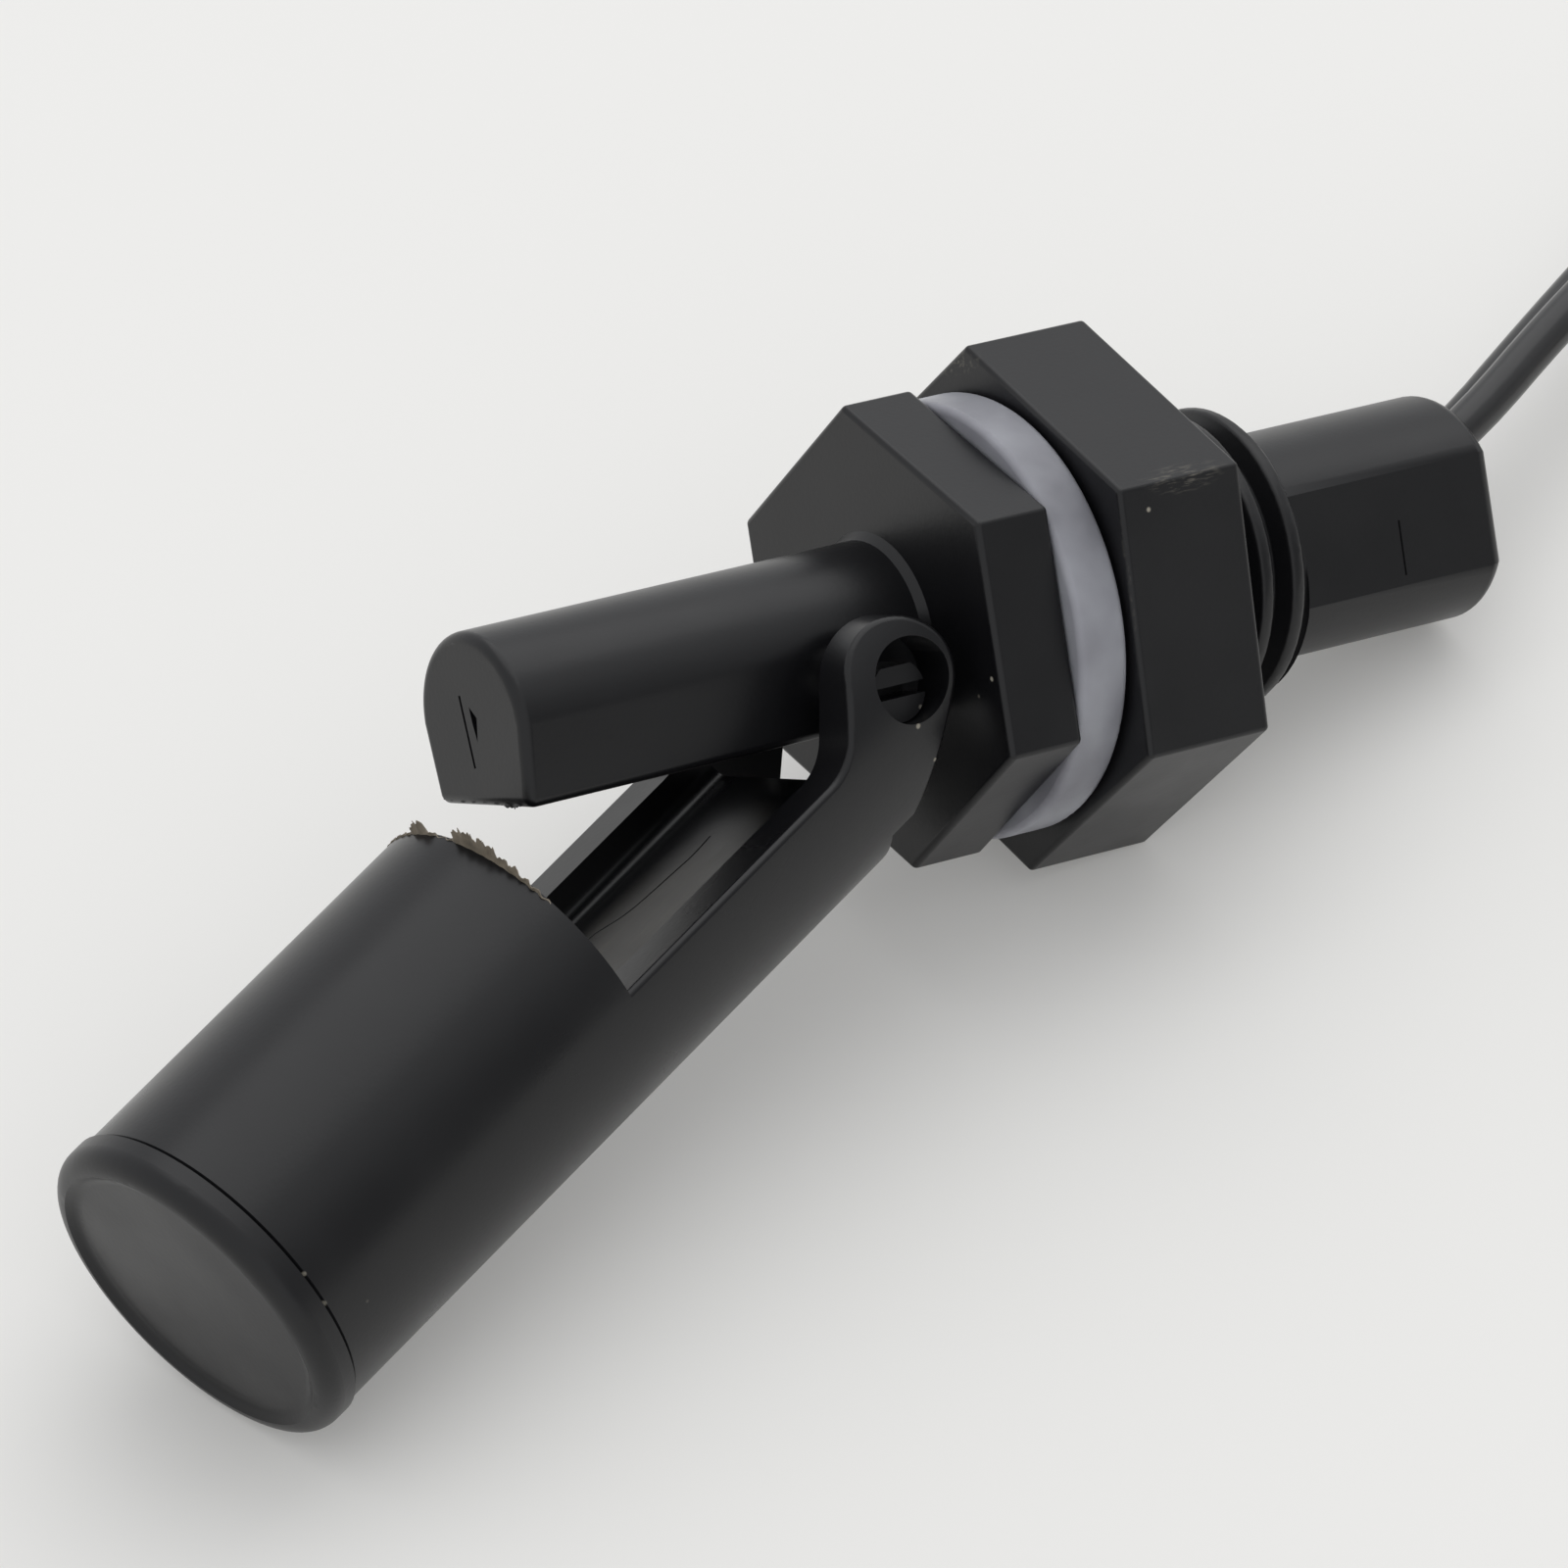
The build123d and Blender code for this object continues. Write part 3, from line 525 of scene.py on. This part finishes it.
# Soft extruded vinyl, black: smoother and glossier than the mouldings, with faint streaks from the die.
lead_vinyl = plain_finish("extruded_soft_vinyl", "#1b1b1c", 0.3, mottle_mm=1.6, contrast=0.3, bump=0.03)
strand_tree, strand_sizes = twisted_strands()
for end, side in (("a", 1), ("b", -1)):
    curve = bpy.data.curves.new("lead_wire_" + end, "CURVE")
    curve.dimensions = "3D"
    curve.bevel_depth = LEAD_D / 2 * MM
    curve.bevel_resolution = 5
    curve.resolution_u = 8
    curve.use_fill_caps = True
    curve.materials.append(lead_vinyl)
    route = lead_points(side)
    spline = curve.splines.new("NURBS")
    spline.points.add(len(route) - 1)
    for point, place in zip(spline.points, route):
        point.co = (*place, 1)
    spline.order_u = 3
    spline.use_endpoint_u = True
    wire = show("lead_wire_" + end, curve)
    start, heading, clear = tail_line(side)
    tip = show("lead_strands_" + end, bpy.data.meshes.new("lead_strands_" + end))
    twist = tip.modifiers.new("twist", "NODES")
    twist.node_group = strand_tree
    for name, value in (("Strands", 6), ("Strand radius", TIP_D / 6), ("Lay radius", TIP_D / 3), ("Length", TIP),
                        ("Turns", 0.6), ("Material", tinned)):
        twist[strand_sizes[name]] = value
    tip.data = baked(tip)
    square = Matrix((heading.cross(Vector((0, 0, 1))), Vector((0, 0, 1)), heading)).transposed().to_4x4()
    place = Matrix.Translation(MM * (start + heading * (clear + TAIL))) @ square @ Matrix.Scale(MM, 4)
    tip.data.transform(place)
    tip.data.shade_smooth()
    tip.data.set_sharp_from_angle(angle=math.radians(50))
    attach(wire, "switch")
    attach(tip, "switch")
    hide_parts(*(("lead_" + end, "lead_tail_" + end, "lead_coil") if end == "a" else
                        ("lead_" + end, "lead_tail_" + end)))
    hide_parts("lead_tip_" + end)

# Gasket: a thick washer of translucent white silicone, pressed between the flange and the tank's wall.
# Moulded, soft, a little lilac where the light goes through it, with a fine bumpy haze all over.
silicone = bpy.data.materials.new("translucent_silicone")
silicone.use_nodes = True
tree = silicone.node_tree
shader = tree.nodes["Principled BSDF"]
where = add(tree, "ShaderNodeTexCoord").outputs["Object"]
cloud = add(tree, "ShaderNodeTexNoise", {"Vector": where, "Scale": 1000 / 6.0, "Detail": 3.0}).outputs["Fac"]
haze = add(tree, "ShaderNodeTexNoise", {"Vector": where, "Scale": 1000 / 0.3, "Detail": 2.0}).outputs["Fac"]
cloud = add(tree, "ShaderNodeMapRange", {"Value": cloud, "From Min": 0.35, "From Max": 0.65}).outputs["Result"]
milky = add(tree, "ShaderNodeMix", {"Factor": cloud, 6: linear("#7c7c82"), 7: linear("#9a9ba1")},
            data_type="RGBA").outputs[2]
soft = add(tree, "ShaderNodeBump", {"Height": haze, "Strength": 0.4, "Distance": 0.03 * MM}).outputs["Normal"]
tree.links.new(milky, shader.inputs["Base Color"])
tree.links.new(soft, shader.inputs["Normal"])
shader.inputs["Roughness"].default_value = 0.42
shader.inputs["IOR"].default_value = 1.41
shader.inputs["Subsurface Weight"].default_value = 0.5
shader.inputs["Subsurface Radius"].default_value = (1.0, 0.9, 0.95)
shader.inputs["Subsurface Scale"].default_value = 1.5 * MM
dress("gasket", silicone)

# Lock nut: a thick hexagon nut of the same black polypropylene, run up against the gasket.
# Moulded with rounded edges and a lead-in at both ends of its thread; its corners are scuffed from handling.
NUT_SPECKS = [((4.85, -12.28, 5.0), 0.16), ((9.0, -10.4, 9.2), 0.12)]
NUT_SCUFFS = [((7.3, -12.2, 6.4), (2.9, 0.9, 1.1), (0.9, 0.14, 0.14), 0.0, 0.4),
              ((3.2, 0.6, 13.0), (1.6, 2.6, 0.8), (0.2, 0.3, 0.2), 0.0, 0.4),
              ((3.0, -12.2, -1.0), (0.35, 0.5, 7.5), (0.2, 0.2, 0.35), 0.0, 0.4)]
nut_plastic = black_polypropylene("moulded_polypropylene_nut", lying, colour="#0d0d0f", roughness=(0.29, 0.40),
                                  dust=0.6, specks=NUT_SPECKS, scuffs_and_sheen=NUT_SCUFFS)
dress("lock_nut", nut_plastic)

# Float shell: a closed tube that runs out into an open trough between two arms with round ears, moulded in one.
# Black polypropylene. The ears snap over the pivot pins, and a pale, slightly rougher streaky patch on the trough's
# floor is painted reflection.
HINGE = Vector((-8.75, 0, -1.75))
EAR_SEAT = 0.59
HANG = math.radians(28.6516)
hanging = lying @ Matrix.Translation(HINGE + Vector((0, 0, EAR_SEAT))) @ Matrix.Rotation(-HANG, 4, "Y")
FLOAT_SPECKS = [((-0.91, -7.85, -4.5), 0.14), ((-1.12, -8.81, -2.09), 0.18), ((-45.81, -8.95, 0.72), 0.16),
                ((-45.85, -8.87, -1.17), 0.2)]
# Painted reflection: a pale streaky patch on the trough's floor, mixed in like a scuff, stands in for light reflected
# there.
TROUGH_PAINTED_REFLECTION = [((-15.4, -0.1, -3.0), (9.5, 4.8, 0.6), (3.6, 0.8, 0.8), 0.16, 0.26)]
float_plastic = black_polypropylene("moulded_polypropylene_float", hanging, roughness=(0.26, 0.36), dust=0.25,
                                    specks=FLOAT_SPECKS, scuffs_and_sheen=TROUGH_PAINTED_REFLECTION)
dress("float_shell", float_plastic)

# Flash on the notch's edge: a ragged film of the float's own plastic that crept between the halves of its mould.
# It was never trimmed, is paper-thin and pale where it was stretched, and holds dust.
NOTCH_X = -22.9
NOTCH_FLASH_IN = 0.1
NOTCH_FLASH_T = 0.14
FLOAT_R = 9.05
NOTCH_FLASH = [(34, 0.0), (23, 0.06), (11.6, 0.09), (6, 0.11), (4, 0.42), (1, 0.62), (-1.5, 0.8), (-2.7, 0.85),
               (-3.1, 0.45), (-5.4, 0.22), (-9, 0.02), (-13, 0.0), (-16.5, 0.12), (-18.2, 0.6), (-18.8, 0.86),
               (-23.6, 1.05), (-28.3, 1.0), (-33.6, 1.1), (-34.5, 0.88), (-37.3, 0.62), (-41, 0.66), (-43.3, 0.6),
               (-45, 0.34), (-47.2, 0.34), (-50, 0.26), (-54, 0.12), (-58, 0.0)]
# Stretched polypropylene film, tan: dull, blotched with dust.
flash_film = plain_finish("thin_mould_flash", "#9c9180", 0.5, mottle_mm=0.7, contrast=0.75, bump=0.04)
edge = [(math.radians(angle), height) for angle, height in along_profile(NOTCH_FLASH, 185)]
rim = [Vector((0, math.sin(angle), math.cos(angle))) for angle, height in edge]
fin = flash_fin("notch_flash", [Vector((NOTCH_X - NOTCH_FLASH_IN, 0, 0)) + FLOAT_R * way for way in rim], rim,
                Vector((1, 0, 0)), [height for angle, height in edge], NOTCH_FLASH_T)
fin.transform(hanging)
notch_fin = show("notch_flash", fin, flash_film)
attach(notch_fin, "float")

# Hairline in the trough: a fine dark crease in the float's own plastic, where two streams of it met in the mould.
# It wanders along the trough's floor and is drawn as a thin thread half sunk into it.
CREASE_R = 0.07
CREASE_Z = -3.035
HAIRLINE = [(-18.4, 3.3), (-17.0, 3.42), (-16.2, 2.85), (-15.2, 2.2), (-13.5, 1.9), (-11.8, 1.7), (-10.4, 1.5),
            (-9.1, 1.7)]
crease = bpy.data.curves.new("trough_crease", "CURVE")
crease.dimensions = "3D"
crease.bevel_depth = CREASE_R
crease.bevel_resolution = 1
crease.resolution_u = 6
path = crease.splines.new("NURBS")
path.points.add(len(HAIRLINE) - 1)
for point, (x, y) in zip(path.points, HAIRLINE):
    point.co = (x, y, CREASE_Z, 1)
path.order_u = 3
path.use_endpoint_u = True
crease_line = show("trough_crease", crease)
crease_mesh = baked(crease_line)
bpy.data.objects.remove(crease_line)
crease_mesh.transform(hanging)
# Creased polypropylene, black: matt, with no light in it.
creased = plain_finish("creased_polypropylene", "#060606", 0.7, mottle_mm=0.5)
crease_line = show("trough_crease", crease_mesh, creased)
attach(crease_line, "float")

# Float magnet: a short round slug of sintered ferrite, pressed into its socket behind the notch wall.
# It is hidden in the closed float. Dark grey, fine-grained, matt.
dress("float_magnet", plain_finish("sintered_ferrite", "#3a3b3d", 0.6, mottle_mm=0.4))

# Float cap: a dished round lid with a thick rolled bead, spun on to the tube's end so that the two melt together.
# The same plastic, with a slightly coarser grain.
cap_plastic = black_polypropylene("moulded_polypropylene_cap", hanging, colour="#0e0e10", grain_mm=0.3,
                                  roughness=(0.28, 0.40), dust=0.3)
dress("float_cap", cap_plastic)

# Table, light and camera: a pale painted tabletop, one large softbox high behind the switch and an even pale room,
# which is dimmer on the side towards the camera's right.
FLOOR_COLOUR = "#edece9"
FLOOR_GLOW = 0.2
KEY_PLACE = (0.52, 0.47, 1.15)
KEY_SIZE = 1.6
KEY_WATTS = 6.8
DIM_SIDE = (0.554, -0.821, 0.139)
floor_paint = bpy.data.materials.new("pale_tabletop")
floor_paint.use_nodes = True
tree = floor_paint.node_tree
paint = tree.nodes["Principled BSDF"]
paint.inputs["Base Color"].default_value = linear(FLOOR_COLOUR)
paint.inputs["Roughness"].default_value = 0.8
paint.inputs["Specular IOR Level"].default_value = 0.1
ray = add(tree, "ShaderNodeLightPath").outputs
seen = add(tree, "ShaderNodeMath", {0: ray["Is Camera Ray"], 1: ray["Is Glossy Ray"]}, operation="MAXIMUM").outputs[0]
seen = add(tree, "ShaderNodeMath", {0: seen, 1: ray["Is Transmission Ray"]}, operation="MAXIMUM").outputs[0]
share = add(tree, "ShaderNodeMath", {0: seen, 1: FLOOR_GLOW}, operation="MULTIPLY").outputs[0]
glow = add(tree, "ShaderNodeEmission", {"Color": linear(FLOOR_COLOUR), "Strength": 1.0}).outputs[0]
pale = add(tree, "ShaderNodeMixShader", {0: share, 1: paint.outputs[0], 2: glow}).outputs[0]
tree.links.new(pale, tree.nodes["Material Output"].inputs["Surface"])
sheet = bpy.data.meshes.new("table")
sheet.from_pydata([(x, y, TABLE * MM) for x, y in ((-4, -4), (4, -4), (4, 4), (-4, 4))], [], [(0, 1, 2, 3)])
show("table", sheet, floor_paint)

softbox = bpy.data.lights.new("key_softbox", "AREA")
softbox.size, softbox.energy = KEY_SIZE, KEY_WATTS
holder = bpy.data.objects.new("key_softbox", softbox)
holder.location = KEY_PLACE
holder.rotation_euler = (-Vector(KEY_PLACE)).to_track_quat("-Z", "Y").to_euler()
bpy.context.collection.objects.link(holder)

world = bpy.data.worlds.new("studio")
bpy.context.scene.world = world
world.use_nodes = True
tree = world.node_tree
heading = add(tree, "ShaderNodeTexCoord").outputs["Generated"]
dimmed = add(tree, "ShaderNodeVectorMath", {0: heading, 1: DIM_SIDE}, operation="DOT_PRODUCT").outputs["Value"]
level = add(tree, "ShaderNodeMapRange", {"Value": dimmed, "From Min": 0.75, "From Max": 0.97,
                                         "To Min": 0.835, "To Max": 0.34}).outputs["Result"]
tree.links.new(level, tree.nodes["Background"].inputs["Strength"])
tree.nodes["Background"].inputs["Color"].default_value = (0.97, 0.98, 1.0, 1)

EYE = MM * Vector((-217.7, -349.7, 383.0))
RIGHT = Vector((0.8318, -0.5525, -0.0536)).normalized()
DOWN = Vector((-0.4151, -0.5550, -0.7209))
DOWN = (DOWN - RIGHT * RIGHT.dot(DOWN)).normalized()
camera = bpy.data.cameras.new("camera")
camera.lens, camera.sensor_width = 251.16, 36.0
camera.clip_start, camera.clip_end = 0.01, 20.0
holder = bpy.data.objects.new("camera", camera)
turn = Matrix((RIGHT, -DOWN, -RIGHT.cross(DOWN))).transposed().to_4x4()
holder.matrix_world = Matrix.Translation(EYE) @ turn
bpy.context.collection.objects.link(holder)
bpy.context.scene.camera = holder
bpy.context.scene.view_settings.view_transform = "Standard"
